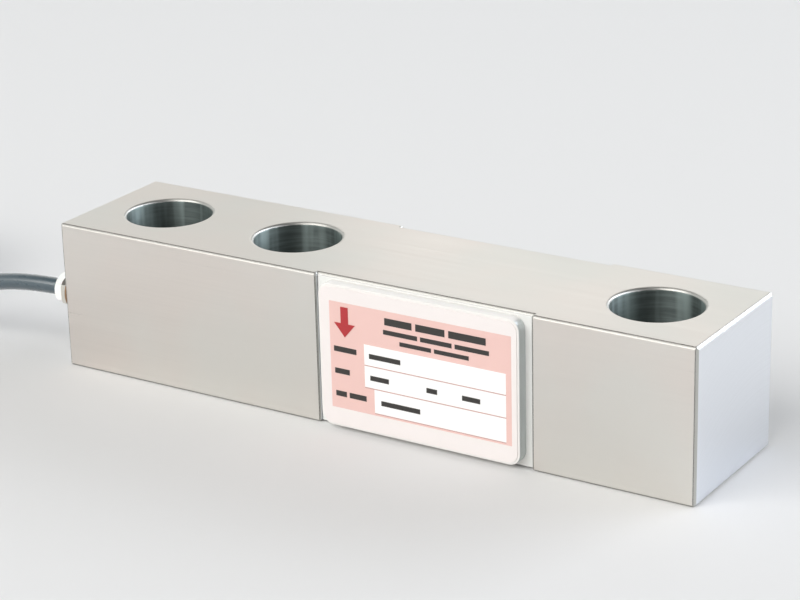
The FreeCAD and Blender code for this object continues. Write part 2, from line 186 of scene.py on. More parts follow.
class StageSettings(bpy.types.PropertyGroup):
    """Floor, lights and camera"""

    floor: FloatVectorProperty(
        name="Floor", description="Colour of the floor",
        subtype="COLOR", min=0, max=1, default=linear("E6E6E6"))
    horizon: FloatVectorProperty(
        name="Horizon", description="Room light near the floor",
        subtype="COLOR", min=0, soft_max=2, default=(0.96, 0.98, 0.96))
    ceiling: FloatVectorProperty(
        name="Ceiling", description="Room light from above",
        subtype="COLOR", min=0, soft_max=2, default=(0.12, 0.12, 0.12))
    open_side: FloatVectorProperty(
        name="Open side", description="Room light from the side where the room is open",
        subtype="COLOR", min=0, soft_max=2, default=(0.36, 0.36, 0.36))
    open_turn: FloatProperty(
        name="Open side turn", description="Turn of the room's open side about the vertical",
        subtype="ANGLE", default=math.radians(52))
    camera_place: FloatVectorProperty(
        name="Camera", description="Place of the camera",
        subtype="TRANSLATION", unit="LENGTH", default=(0.34739, -0.46712, 0.23415))
    lens: FloatProperty(
        name="Lens", description="Focal length in millimetres",
        unit="CAMERA", min=10, default=114.164)
    yaw: FloatProperty(
        name="Yaw", description="Turn of the camera about the vertical",
        subtype="ANGLE", default=math.radians(32.701))
    pitch: FloatProperty(
        name="Pitch", description="Tilt of the camera below the horizon",
        subtype="ANGLE", default=math.radians(20.549))
    roll: FloatProperty(
        name="Roll", description="Roll of the camera about its own axis",
        subtype="ANGLE", default=math.radians(-1.498))


class LoadCellSettings(bpy.types.PropertyGroup):
    """All settings of the load cell"""

    bar: PointerProperty(type=BarSettings)
    label: PointerProperty(type=LabelSettings)
    cable: PointerProperty(type=CableSettings)
    stage: PointerProperty(type=StageSettings)


# Nodes and patterns


def add(tree, kind, inputs, out=0, **settings):
    """Add a shader node with its settings, set or link its inputs, and give one of its outputs"""
    node = tree.nodes.new("ShaderNode" + kind)
    for name, value in settings.items():
        setattr(node, name, value)
    for key, value in inputs.items():
        socket = node.inputs[key]
        if isinstance(value, bpy.types.NodeSocket):
            tree.links.new(value, socket)
        elif socket.type == "RGBA":
            socket.default_value = (*value, 1)
        else:
            socket.default_value = value
    return node.outputs[out]


def new_material(name, steady):
    """New material with its tree, its shader, which holds the steady values, and the place on the part"""
    material = bpy.data.materials.new(name)
    material.use_nodes = True
    tree = material.node_tree
    shader = tree.nodes["Principled BSDF"]
    for socket, value in steady.items():
        shader.inputs[socket].default_value = value
    return material, tree, shader, add(tree, "TexCoord", {}, "Object")


def link(tree, shader, sockets):
    """Link patterns to the shader's sockets"""
    for name, pattern in sockets.items():
        tree.links.new(pattern, shader.inputs[name])


def shaded(colour, share):
    """Colour made darker or lighter by a share"""
    return tuple(min(1.0, c * share) for c in colour)


def grain(tree, place, size, detail=3.0, coarser=1):
    """Soft random pattern whose grains measure size, in metres, each way or along X, Y and Z"""
    sizes = size if isinstance(size, tuple) else (size, size, size)
    stretched = add(tree, "Mapping", {"Vector": place, "Scale": [1 / (coarser * s) for s in sizes]})
    return add(tree, "TexNoise", {"Vector": stretched, "Scale": 1.0, "Detail": detail})


def layered(tree, colour, layers):
    """Colour with others laid over it in turn, each where its mask is 1"""
    # A mix node takes two colours at its sockets 6 and 7, and gives a colour at its output 2
    for mask, layer in layers:
        colour = add(tree, "Mix", {0: mask, 6: colour, 7: layer}, 2, data_type="RGBA")
    return colour


def surface(tree, shader, colour, pattern, gloss, depth, span=(0.2, 0.8)):
    """Give the shader its colour, and let a pattern set its roughness and raise it to a depth"""
    rough = add(tree, "MapRange", {"Value": pattern, "From Min": span[0], "From Max": span[1],
                                   "To Min": gloss[0], "To Max": gloss[1]})
    raised = add(tree, "Bump", {"Height": pattern, "Distance": depth})
    link(tree, shader, {"Base Color": colour, "Roughness": rough, "Normal": raised})


def reach(tree, vector):
    """Length of a vector along X, Y and Z, whichever way it points"""
    lengths = add(tree, "VectorMath", {0: vector}, operation="ABSOLUTE")
    return add(tree, "SeparateXYZ", {"Vector": lengths}).node.outputs


def facing(tree):
    """How far the surface faces along X, Y and Z, each from 0 to 1"""
    return reach(tree, add(tree, "NewGeometry", {}, "Normal"))


# Marks that machining leaves on the bar, and the sizes of the painted shade and highlights on it

HAZE_SIZE = mm(38)
RING_LENGTH = mm(12)
HIGHLIGHT_STREAK_WIDTH = mm(4)
HIGHLIGHT_STREAK_LENGTH = mm(60)
CUTTER_FEED = mm(0.5)
CUTTER_CENTRE = (0, mm(12), mm(-30))
RING_DEPTH = mm(0.025)
# Grinding lines and cutter arcs have this share of the rings' depth
LINE_SHARE = 0.15
BORE_MARGIN = mm(0.05)
# The painted dark line fades in between these distances from the bar's middle, so the bores' rims have none
OUTER_START = mm(14)
OUTER_FULL = mm(15)
# A face square to an axis faces it by more than SQUARE, and an edge break by less than LEANING
SQUARE = 0.97
LEANING = 0.90


def cutter_arcs(tree, place):
    """Arcs that a face mill leaves on an end face"""
    flat = add(tree, "VectorMath", {0: place, 1: (0, 1, 1)}, operation="MULTIPLY")
    away = add(tree, "VectorMath", {0: flat, 1: CUTTER_CENTRE}, "Value", operation="DISTANCE")
    return grain(tree, add(tree, "CombineXYZ", {"X": away}), (CUTTER_FEED, 1, 1))


def bore_mask(tree, place):
    """1 on the walls of the bores that the record names, 0 elsewhere"""
    flat = add(tree, "VectorMath", {0: place, 1: (1, 1, 0)}, operation="MULTIPLY")
    mask = 0.0
    for mount in frame["record"]["mounts"]:
        if mount["kind"] != "bore":
            continue
        x, y, _ = mount["pos_m"]
        away = add(tree, "VectorMath", {0: flat, 1: (x, y, 0)}, "Value", operation="DISTANCE")
        rim = mm(mount["dims"]["r_mm"]) + BORE_MARGIN
        inside = add(tree, "Math", {0: away, 1: rim}, operation="LESS_THAN")
        mask = add(tree, "Math", {0: inside, 1: mask}, operation="MAXIMUM")
    return mask


def edge_mask(tree):
    """1 on faces that lean between two axes, as edge breaks do, 0 on square faces"""
    x, y, z = facing(tree)
    most = add(tree, "Math", {0: x, 1: y}, operation="MAXIMUM")
    most = add(tree, "Math", {0: most, 1: z}, operation="MAXIMUM")
    return add(tree, "MapRange", {"Value": most, "From Min": SQUARE, "From Max": LEANING})


def painted_edge_shade(tree, place, rounded):
    """Fine dark line painted along one side of the bar's outer edges, a painted shade beside the edges'
    highlights
    """
    lean = reach(tree, rounded)
    across = reach(tree, place)[1]
    outer = add(tree, "MapRange", {"Value": across, "From Min": OUTER_START, "From Max": OUTER_FULL})
    line = 0.0
    # An upright edge has its line on the front or rear face, a long edge on the top or underside
    for side, along, stop in ((1, 2, 0.8), (2, 0, 0.72)):
        # It starts beside the square face, stops part of the way round the edge, and leaves out the corners
        steps = ((side, SQUARE, 0.93), (side, stop - 0.05, stop + 0.04), (along, 0.3, 0.1))
        share = outer
        for axis, none, full in steps:
            step = add(tree, "MapRange", {"Value": lean[axis], "From Min": none, "From Max": full})
            share = add(tree, "Math", {0: share, 1: step}, operation="MULTIPLY")
        line = add(tree, "Math", {0: share, 1: line}, operation="MAXIMUM")
    return line


def bore_colour(tree, place, bored, rings):
    """Bored wall, darker than the plating and darkened further as painted shade, with rings round it and
    lighter bands up and down it painted as highlights
    """
    highlight_streaks = grain(tree, place, (HIGHLIGHT_STREAK_WIDTH, HIGHLIGHT_STREAK_WIDTH, HIGHLIGHT_STREAK_LENGTH), detail=2.0)
    ringed = add(tree, "MapRange", {"Value": rings, "From Min": 0.3, "From Max": 0.7})
    highlight_streaked = add(tree, "MapRange", {"Value": highlight_streaks, "From Min": 0.45, "From Max": 0.65})
    return layered(tree, shaded(bored, 0.5), [(ringed, shaded(bored, 0.78)), (highlight_streaked, shaded(bored, 1.3))])


# Materials


def ground_steel(bar):
    """Nickel plated steel, surface ground"""
    # A soft even sheen with lines along the bar, cooler patches, and edges with a fine dark line painted
    # beside them as painted shade
    # Cutter arcs show on the ends, which are painted brighter and cooler as painted light; the bores are
    # darkened as painted shade, with rings and lighter painted highlight bands
    material, tree, shader, place = new_material("Nickel plated steel, surface ground",
                                                 {"Metallic": 1.0, "Anisotropic": 0.7})
    # Real grinding lines and boring rings are finer than a pixel, so both are drawn wider
    lines = grain(tree, place, (bar.line_length, bar.line_width, bar.line_width))
    rings = grain(tree, place, (RING_LENGTH, RING_LENGTH, bar.bore_feed), detail=2.0)
    haze = grain(tree, place, HAZE_SIZE, detail=2.0)
    arcs = cutter_arcs(tree, place)
    in_bore = bore_mask(tree, place)
    off_bore = add(tree, "Math", {0: 1.0, 1: in_bore}, operation="SUBTRACT")
    edge = add(tree, "Math", {0: edge_mask(tree), 1: off_bore}, operation="MULTIPLY")
    end = add(tree, "MapRange", {"Value": facing(tree)[0], "From Min": LEANING, "From Max": SQUARE})
    end = add(tree, "Math", {0: end, 1: off_bore}, operation="MULTIPLY")
    rounded = add(tree, "Bevel", {"Radius": bar.edge_round}, samples=8)
    patches = add(tree, "MapRange", {"Value": haze, "From Min": 0.4, "From Max": 0.65, "To Max": 0.8})
    milled = layered(tree, shaded(bar.milled_and_lit_steel, 0.92), [(arcs, shaded(bar.milled_and_lit_steel, 1.03))])
    colour = layered(tree, shaded(bar.steel, 0.965), [
        (lines, shaded(bar.steel, 1.02)),
        (patches, bar.hazed_steel),
        # Painted light: the milled ends are brighter and cooler than the plating
        (end, milled),
        (edge, shaded(bar.hazed_steel, 0.75)),
        # Painted shade: a fine dark line beside the outer edges
        (painted_edge_shade(tree, place, rounded), shaded(bar.steel, 0.2)),
        # Painted shade and painted highlight bands on the bores' walls
        (in_bore, bore_colour(tree, place, bar.bored_steel, rings)),
    ])
    rough = 0.22
    for pattern, share in ((lines, 0.12), (haze, 0.06), (edge, 0.12), (end, 0.06), (in_bore, 0.28)):
        rough = add(tree, "Math", {0: pattern, 1: share, 2: rough}, operation="MULTIPLY_ADD")
    # Gloss spreads across the grinding lines on the flats, and up and down in the bores
    spread = add(tree, "CombineXYZ", {"Y": off_bore, "Z": 1.0})
    marks = add(tree, "Mix", {"Factor": end, "A": lines, "B": arcs})
    marks = add(tree, "Math", {0: marks, 1: LINE_SHARE}, operation="MULTIPLY")
    marks = add(tree, "Mix", {"Factor": in_bore, "A": marks, "B": rings})
    raised = add(tree, "Bump", {"Height": marks, "Distance": RING_DEPTH, "Normal": rounded})
    link(tree, shader, {"Base Color": colour, "Roughness": rough, "Tangent": spread, "Normal": raised})
    return material


def coated_plate(bar):
    """Aluminium strip, coated white and sheared to length"""
    # White satin coat with a fine pebble; the sides that face along the bar are bare grey metal, put there as
    # painted shade
    material, tree, shader, place = new_material("Aluminium strip, coated and sheared", {})
    pebble = grain(tree, place, mm(0.5), detail=2.0)
    strokes = grain(tree, place, (mm(3), mm(0.2), mm(6)))
    bare = add(tree, "MapRange", {"Value": facing(tree)[0], "From Min": 0.45, "From Max": 0.7})
    # Painted shade: grey bare metal on the plate's sides that face along the bar
    shaded_cut = layered(tree, shaded(bar.sheared, 0.85), [(strokes, shaded(bar.sheared, 1.1))])
    colour = layered(tree, shaded(bar.cover, 0.97), [(pebble, shaded(bar.cover, 1.02)), (bare, shaded_cut)])
    surface(tree, shader, colour, pebble, gloss=(0.36, 0.48), depth=mm(0.006))
    link(tree, shader, {"Metallic": bare})
    return material


def printed(name, colour, roughness):
    """Polyester film or the screen ink on it"""
    # Even colour with a faint mottle and the orange peel of a coated film
    material, tree, shader, place = new_material(
        name, {"IOR": 1.55, "Coat Weight": 0.15, "Coat Roughness": 0.3})
    mottle = grain(tree, place, mm(6), detail=4.0)
    peel = grain(tree, place, mm(0.7), detail=2.0)
    tone = layered(tree, shaded(colour, 0.97), [(mottle, shaded(colour, 1.02))])
    surface(tree, shader, tone, peel, gloss=(roughness - 0.05, roughness + 0.05), depth=mm(0.003))
    return material


def nickel_brass():
    """Nickel plated brass, turned and polished"""
    # Bright and slightly warm, with faint turning rings round the gland's axis
    material, tree, shader, place = new_material("Nickel plated brass, turned", {"Metallic": 1.0})
    nickel = linear("EFEBE2")
    rings = grain(tree, place, (mm(0.25), mm(8), mm(8)))
    tone = layered(tree, shaded(nickel, 0.9), [(rings, nickel)])
    surface(tree, shader, tone, rings, gloss=(0.14, 0.26), depth=mm(0.003))
    return material


TINNED = linear("D2D0CB")
STRAND_SPACING = mm(3.77)


def tinned_copper():
    """Tinned copper wire, drawn and twisted"""
    # Pale grey metal whose strands run round the wire on a slant, drawn coarser than real so that they show
    material, tree, shader, place = new_material("Tinned copper, twisted strands", {"Metallic": 1.0})
    # Slanting bands of a wave node go through ten radians for each unit of its scale
    twist = {"Vector": place, "Scale": math.tau / (10 * STRAND_SPACING), "Distortion": 1.5}
    strands = add(tree, "TexWave", twist, "Fac", bands_direction="DIAGONAL")
    tone = layered(tree, shaded(TINNED, 0.7), [(strands, TINNED)])
    surface(tree, shader, tone, strands, gloss=(0.42, 0.3), depth=mm(0.03), span=(0, 1))
    return material


def lead_insulation(name, colour, tip_x):
    """Extruded PVC round a core, stripped and tinned beyond tip_x"""
    # Clean bright colour with a slight gloss, and bare metal at the tip
    material, tree, shader, place = new_material(name, {"IOR": 1.53})
    along = add(tree, "SeparateXYZ", {"Vector": place}, "X")
    bare = add(tree, "Math", {0: along, 1: tip_x}, operation="LESS_THAN")
    fine = grain(tree, place, (mm(2.0), mm(0.5), mm(0.5)))
    tone = layered(tree, shaded(colour, 0.88), [(fine, shaded(colour, 1.08)), (bare, TINNED)])
    surface(tree, shader, tone, fine, gloss=(0.32, 0.44), depth=mm(0.01))
    link(tree, shader, {"Metallic": bare})
    return material


# A patch of a non-metal is this many grains wide
PATCH_GRAINS = 8


def grained(name, colour, size, depth, roughness, ior, spread=0.12, steady=None):
    """Non-metal with a grain of its own, which its colour, gloss and relief follow"""
    material, tree, shader, place = new_material(name, {"IOR": ior, **(steady or {})})
    fine = grain(tree, place, size)
    broad = grain(tree, place, size, coarser=PATCH_GRAINS)
    patches = add(tree, "MapRange", {"Value": broad, "From Min": 0.3, "From Max": 0.7, "To Max": 0.5})
    tone = layered(tree, shaded(colour, 1 - spread), [
        (fine, shaded(colour, 1 + 0.7 * spread)),
        (patches, shaded(colour, 1 - 0.7 * spread)),
    ])
    surface(tree, shader, tone, fine, gloss=(roughness - 0.08, roughness + 0.08), depth=depth)
    return material


def plain_floor(colour):
    """Painted studio floor"""
    # Matt and pale, with a hardly visible unevenness
    material, tree, shader, place = new_material("Painted floor, matt", {"Roughness": 0.9, "IOR": 1.3})
    uneven = grain(tree, place, mm(400))
    link(tree, shader, {"Base Color": layered(tree, shaded(colour, 0.99), [(uneven, colour)])})
    return material


def soft_room(stage):
    """Pale room light, brightest low down all round, dimmer on the open side and dim above"""
    world = bpy.data.worlds.new("soft_room")
    world.use_nodes = True
    tree = world.node_tree
    way = add(tree, "TexCoord", {}, "Generated")
    up = add(tree, "SeparateXYZ", {"Vector": way}, "Z")
    high = add(tree, "MapRange", {"Value": up, "From Min": 0.45, "From Max": 0.8})
    towards = (math.sin(stage.open_turn), -math.cos(stage.open_turn), 0)
    turned = add(tree, "VectorMath", {0: way, 1: towards}, "Value", operation="DOT_PRODUCT")
    opening = add(tree, "MapRange", {"Value": turned, "From Min": 0.45, "From Max": 0.85})
    light = layered(tree, stage.horizon, [(opening, stage.open_side), (high, stage.ceiling)])
    tree.links.new(light, tree.nodes["Background"].inputs["Color"])
    return world


# Meshes


def dress(node, material):
    """Give a CAD node its finish"""
    slots = frame["nodes"][node].data.materials
    slots.clear()
    slots.append(material)


def finished(name, mesh, material, replaced=()):
    """Put a mesh or curve on the part as a piece of its own"""
    piece = bpy.data.objects.new(name, mesh)
    bpy.context.scene.collection.objects.link(piece)
    mesh.materials.append(material)
    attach(piece, BODY)
    if replaced:
        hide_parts(*replaced)
    return piece


def mesh_of(name, shape, smooth_angle=None):
    """Mesh from a bmesh, smooth where faces meet at less than an angle in degrees"""
    bmesh.ops.recalc_face_normals(shape, faces=shape.faces)
    mesh = bpy.data.meshes.new(name)
    shape.to_mesh(mesh)
    shape.free()
    if smooth_angle:
        mesh.shade_smooth()
        mesh.set_sharp_from_angle(angle=math.radians(smooth_angle))
    return mesh


def rounded_outline(points, radius, steps):
    """Closed outline with each corner of it rounded to one radius"""
    points = [Vector(p) for p in points]
    outline = []
    for i, corner in enumerate(points):
        back = (points[i - 1] - corner).normalized()
        ahead = (points[(i + 1) % len(points)] - corner).normalized()
        half = back.angle(ahead) / 2
        centre = corner + (back + ahead).normalized() * (radius / math.sin(half))
        start = corner + back * (radius / math.tan(half)) - centre
        end = corner + ahead * (radius / math.tan(half)) - centre
        for step in range(steps + 1):
            share = step / steps
            way = (start * (1 - share) + end * share).normalized()
            outline.append(centre + way * radius)
    return outline


def raised_field(shape, outline, back_y, front_y):
    """Flat field with a closed edge, from an outline in X and Z"""
    faces = []
    for y in (back_y, front_y):
        faces.append(shape.faces.new([shape.verts.new((x, y, z)) for x, z in outline]))
    count = len(outline)
    for i in range(count):
        j = (i + 1) % count
        shape.faces.new([faces[0].verts[i], faces[0].verts[j], faces[1].verts[j], faces[1].verts[i]])


def rectangle(x0, x1, z0, z1):
    """Upright rectangle, given by its sides"""
    return [(x0, z0), (x1, z0), (x1, z1), (x0, z1)]


def add_skin(shape, rings, closed=False):
    """Skin over rings of points: joined end to end, or capped"""
    loops = [[shape.verts.new(p) for p in ring] for ring in rings]
    pairs = list(zip(loops, loops[1:]))
    if closed:
        pairs.append((loops[-1], loops[0]))
    else:
        shape.faces.new(loops[0])
        shape.faces.new(loops[-1])
    for first, second in pairs:
        for i in range(len(first)):
            j = (i + 1) % len(first)
            shape.faces.new([first[i], first[j], second[j], second[i]])


# Cable

# Free cable from the gland to the hank, in millimetres, as the CAD model has it
CABLE_ROUTE = [
    (-36.6, -13.55, 17.85),
    (-51.0, -13.55, 17.85),
    (-67.0, -13.8, 15.3),
    (-83.0, -15.0, 10.1),
    (-98.5, -17.4, 5.1),
    (-112.0, -20.0, 3.2),
    (-126.0, -21.2, 3.0),
    (-140.0, -21.1, 3.0),
]

# Bare end, over the near fold and back along the front run
TAIL_ROUTE = [
    (-140.0, 18.9, 15.9),
    (-107.1, 16.9, 20.6),
    (-107.1, -16.9, 20.6),
    (-140.0, -16.9, 20.6),
]

# Turns beside and on each other, and steps of the line round a fold and along a run
HANK_COLUMNS = 3
HANK_LAYERS = 4
FOLD_STEPS = 6
RUN_STEPS = 3
# Steps of the jacket's surface, round the cable and between two points of its line
JACKET_STEPS = 5


def hank_turns(cable, first_z):
    """Points of the hank's turns: outer to inner in one layer, back out in the next"""
    places = []
    for layer in range(HANK_LAYERS):
        columns = range(HANK_COLUMNS)
        for column in reversed(columns) if layer % 2 == 0 else columns:
            places.append((cable.fold_radius + column * cable.pitch, first_z + layer * cable.pitch))
    points = []
    # A spline of order 3 passes inside its points on a bend by this share
    ease = (3 + math.cos(math.pi / FOLD_STEPS)) / 4
    for turn, (radius, z) in enumerate(places):
        next_radius, next_z = places[min(turn + 1, len(places) - 1)]
        for step in range(RUN_STEPS + 1):
            points.append((cable.near_x + (cable.far_x - cable.near_x) * step / RUN_STEPS, -radius, z))
        for step in range(1, FOLD_STEPS):
            angle = math.pi * step / FOLD_STEPS
            wide = radius / ease
            points.append((cable.far_x - wide * math.sin(angle), -wide * math.cos(angle), z))
        for step in range(RUN_STEPS + 1):
            points.append((cable.far_x + (cable.near_x - cable.far_x) * step / RUN_STEPS, radius, z))
        for step in range(1, FOLD_STEPS):
            share = step / FOLD_STEPS
            angle = math.pi * share
            wide = (radius + (next_radius - radius) * share) / ease
            points.append((cable.near_x + wide * math.sin(angle), wide * math.cos(angle),
                           z + (next_z - z) * share))
    return points


def cable_points(cable):
    """Whole line of the cable: out of the gland, round the hank, over its near fold"""
    lead_in = [tuple(mm(v) for v in p) for p in CABLE_ROUTE]
    tail = [tuple(mm(v) for v in p) for p in TAIL_ROUTE]
    turns = hank_turns(cable, lead_in[-1][2])
    start = next(i for i, p in enumerate(turns) if p[0] < lead_in[-1][0])
    # The last turn ends on its rear run, where the bare end leaves it
    stop = max(i for i, p in enumerate(turns) if p[1] > 0 and p[0] < tail[0][0])
    return lead_in + turns[start:stop + 1] + tail


class LOADCELL_OT_cable(bpy.types.Operator):
    """Make the cable as one line at its real length, most of it in a tied hank"""

    bl_idname = "loadcell.cable"
    bl_label = "Cable"

    def execute(self, context):
        cable = context.scene.load_cell.cable
        curve = bpy.data.curves.new("cable_run", "CURVE")
        curve.dimensions = "3D"
        curve.bevel_depth = cable.diameter / 2
        curve.bevel_resolution = JACKET_STEPS
        curve.resolution_u = JACKET_STEPS
        curve.use_fill_caps = True
        points = cable_points(cable)
        spline = curve.splines.new("NURBS")
        spline.points.add(len(points) - 1)
        for point, place in zip(spline.points, points):
            point.co = (*place, 1)
        spline.order_u = 3
        spline.use_endpoint_u = True
        spline.use_smooth = True
        # Dark and smooth, with a clear gloss and a faint unevenness from extrusion
        jacket = grained("PVC jacket, extruded", cable.jacket, size=(mm(3), mm(1.2), mm(1.2)), depth=mm(0.01),
                         roughness=0.3, ior=1.53, spread=0.05,
                         steady={"Coat Weight": 1.0, "Coat IOR": 1.6, "Coat Roughness": 0.22})
        piece = finished("cable_run", curve, jacket, ["cable", "cable_hank", "cable_tail"])
        return {"FINISHED"}


# Ties, sleeve and leads

TIE_THICKNESS = mm(0.9)
# Share of a tie's thickness that its softened edges take
TIE_SOFT_EDGE = 0.35
# A tie's corners are tighter than the cable inside them by this much
TIE_EASE = mm(0.1)
TIE_CORNER_STEPS = 5
# Points of a tie's free end, in millimetres: how far it leans in, and how far it is below the top
TIE_FREE_END = [(0, 1.4), (0, 5), (0, 8), (0.1, 9)]
# Shares of a tie's width and thickness that its free end has
FREE_END_WIDTH = 0.94
FREE_END_THICKNESS = 0.75

# Radius of the shrunk sleeve at places along it, in millimetres from its jacket end
SLEEVE = [(0, 2.2), (0.15, 2.5), (0.7, 2.6), (4.4, 2.6), (5.4, 2.45), (6.6, 2.15), (8.5, 2.05),
          (11.4, 2.02), (12, 1.9)]
SLEEVE_SIDES = 32
# From this place on, the sleeve is drawn in between the cores by a share of its radius
CORES_START = 6
CORES_SHOW = 0.04

LEAD_COLOURS = {"red": "B3262A", "black": "242426", "green": "2E7D4B", "white": "ECEBE6"}
# Length of bare wire at the end of each lead
STRIPPED = mm(5)


def strap_rings(line, x, width, thickness, closed):
    """Rings of a flat strap that follows a line in Y and Z, with its edges softened"""
    half = width / 2
    soft = thickness * TIE_SOFT_EDGE
    section = [(-half, 0), (-half, thickness - soft), (-half + soft, thickness), (half - soft, thickness),
               (half, thickness - soft), (half, 0)]
    rings = []
    for i, place in enumerate(line):
        before = line[i - 1] if closed or i else place
        after = line[(i + 1) % len(line)] if closed or i + 1 < len(line) else place
        way = (after - before).normalized()
        out = Vector((way.y, -way.x))
        rings.append([(x + dx, *(place + out * rise)) for dx, rise in section])
    return rings


def tie_mesh(name, node, cable, crown):
    """Strap round one run of the hank, and its free end lapped on the inner side"""
    low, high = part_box(node)
    side = 1 if high.y > 0 else -1
    rim = cable.fold_radius + (HANK_COLUMNS - 1) * cable.pitch + cable.diameter / 2
    near = cable.fold_radius - cable.diameter / 2
    top = TIE_THICKNESS + (HANK_LAYERS - 1) * cable.pitch + cable.diameter
    corners = [(near, TIE_THICKNESS), (rim, TIE_THICKNESS), (rim, top)]
    if crown:
        # The front strap also goes over the cable's tail
        middle = (near + rim) / 2
        for across in (cable.diameter / 2, -cable.diameter / 2):
            corners.append((middle + across, high.z - TIE_THICKNESS))
    corners.append((near, top))
    line = rounded_outline(corners, cable.diameter / 2 - TIE_EASE, TIE_CORNER_STEPS)
    x = (low.x + high.x) / 2
    width = high.x - low.x
    shape = bmesh.new()
    add_skin(shape, strap_rings(line, x, width, TIE_THICKNESS, closed=True), closed=True)
    lap = near - TIE_THICKNESS
    free = [Vector((lap - mm(lean), top - mm(down))) for lean, down in TIE_FREE_END]
    thin = TIE_THICKNESS * FREE_END_THICKNESS
    add_skin(shape, strap_rings(free, x, width * FREE_END_WIDTH, thin, closed=False))
    for vert in shape.verts:
        vert.co.y *= side
    return mesh_of(name, shape, smooth_angle=35)


def sleeve_mesh(name):
    """Shrunk sleeve that narrows from the jacket to the cores"""
    low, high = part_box("shrink_sleeve")
    middle = (low + high) / 2
    rings = []
    for along, radius in SLEEVE:
        ring = []
        for step in range(SLEEVE_SIDES):
            angle = math.tau * step / SLEEVE_SIDES
            drawn_in = CORES_SHOW * (along > CORES_START) * math.sin(2 * angle) ** 2
            out = mm(radius) * (1 - drawn_in)
            y = middle.y + out * math.cos(angle)
            z = middle.z + out * math.sin(angle)
            ring.append((high.x - mm(along), y, z))
        rings.append(ring)
    shape = bmesh.new()
    add_skin(shape, rings)
    return mesh_of(name, shape, smooth_angle=40)


class LOADCELL_OT_cable_end(bpy.types.Operator):
    """Make the ties and the shrink sleeve, and finish the bare leads"""

    bl_idname = "loadcell.cable_end"
    bl_label = "Cable end and ties"

    def execute(self, context):
        cable = context.scene.load_cell.cable
        # Black, fuzzy and without gloss
        band = grained("Nylon tie, woven loop pile", cable.band, size=mm(0.5), depth=mm(0.15),
                       roughness=0.85, ior=1.53, spread=0.25,
                       steady={"Sheen Weight": 0.4, "Sheen Roughness": 0.5})
        for node, crown in (("front_hank_tie", True), ("rear_hank_tie", False)):
            name = node.replace("hank_tie", "strap")
            finished(name, tie_mesh(name, node, cable, crown), band, [node])
        # Black with a dull gloss and a slight ripple
        sleeve = grained("Polyolefin sleeve, shrunk", linear("26272A"), size=mm(1.2), depth=mm(0.03),
                         roughness=0.4, ior=1.49, spread=0.1)
        finished("cable_sleeve", sleeve_mesh("cable_sleeve"), sleeve, ["shrink_sleeve"])
        tip_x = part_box("red_lead")[0].x + STRIPPED
        for lead, colour in LEAD_COLOURS.items():
            dress(lead + "_lead", lead_insulation("PVC insulation, " + lead, linear(colour), tip_x))
        dress("screen_lead", tinned_copper())
        return {"FINISHED"}


# Bar, cover plate and nameplate


class LOADCELL_OT_bar(bpy.types.Operator):
    """Finish the bar as ground and plated steel"""

    bl_idname = "loadcell.bar"
    bl_label = "Bar"

    def execute(self, context):
        dress("beam_body", ground_steel(context.scene.load_cell.bar))
        return {"FINISHED"}


class LOADCELL_OT_cover(bpy.types.Operator):
    """Finish the cover plate and the gasket under it"""

    bl_idname = "loadcell.cover"
    bl_label = "Cover plate"

    def execute(self, context):
        bar = context.scene.load_cell.bar
        dress("front_cover", coated_plate(bar))
        # Chalky white, with the fine grain of its release paper
        sheet = grained("Silicone sheet, calendered", bar.gasket, size=mm(0.8), depth=mm(0.01),
                        roughness=0.55, ior=1.41, spread=0.03)
        dress("cover_gasket", sheet)
        return {"FINISHED"}


# Print on the film, in millimetres from its lower left corner: left, right, lower and upper sides
PANEL = (2.5, 50.2, 4.15, 30.25)
FIELDS = [(11.7, 48.8, 16.2, 21.2), (11.7, 48.8, 10.75, 15.95), (14.2, 48.8, 4.75, 10.5)]
RULES = [(11.7, 48.8, 15.97, 16.18), (11.7, 48.8, 10.52, 10.73), (14.2, 48.8, 4.54, 4.75)]
# Corners of the load arrow, from its tip
ARROW = [(6.6, 21.9), (9.4, 25.2), (7.6, 25.2), (7.6, 29.2), (5.6, 29.2), (5.6, 25.2), (3.8, 25.2)]
# Rows of dark bars: lower and upper side of the row, and the left and right end of each bar in it
BAR_ROWS = [
    (26.9, 28.6, [(17.4, 24.6), (25.6, 33.2), (34.2, 43.8)]),
    (24.6, 25.7, [(17.0, 26.0), (26.8, 35.0), (35.8, 44.6)]),
    (22.5, 23.5, [(21.3, 29.6), (30.4, 39.4)]),
    (18.1, 19.4, [(3.5, 9.6)]),
    (12.7, 14.0, [(3.6, 7.6)]),
    (7.1, 8.4, [(3.7, 6.6), (7.4, 12.0)]),
    (17.9, 19.1, [(13.0, 21.4)]),
    (12.6, 13.8, [(13.2, 18.2), (28.2, 31.0), (37.5, 42.2)]),
    (6.9, 8.1, [(16.0, 26.4)]),
]


class LOADCELL_OT_nameplate(bpy.types.Operator):
    """Finish the film and lay its printed fields on it"""

    bl_idname = "loadcell.nameplate"
    bl_label = "Nameplate"

    def execute(self, context):
        label = context.scene.load_cell.label
        dress("nameplate", printed("Polyester film, coated", label.film, roughness=0.42))
        corner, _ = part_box("nameplate")
        bars = [rectangle(x0, x1, z0, z1) for z0, z1, ends in BAR_ROWS for x0, x1 in ends]
        layers = [
            ("nameplate_panel", "Screen ink, tint", label.tint, [rectangle(*PANEL)]),
            ("nameplate_fields", "Screen ink, field white", label.field, [rectangle(*f) for f in FIELDS]),
            ("nameplate_rules", "Screen ink, rule", label.rule, [rectangle(*r) for r in RULES]),
            ("nameplate_bars", "Screen ink, black", label.dark, bars),
            ("nameplate_arrow", "Screen ink, red", label.accent, [ARROW]),
        ]
        # Each layer stands one thickness of ink higher than the one before, so that it covers it
        for layer, (name, finish, colour, outlines) in enumerate(layers, 1):
            shape = bmesh.new()
            for outline in outlines:
                placed = [(corner.x + mm(x), corner.z + mm(z)) for x, z in outline]
                raised_field(shape, placed, corner.y, corner.y - layer * label.ink)
            finished(name, mesh_of(name, shape), printed(finish, colour, roughness=0.45))
        return {"FINISHED"}


# Gland and gauge pockets


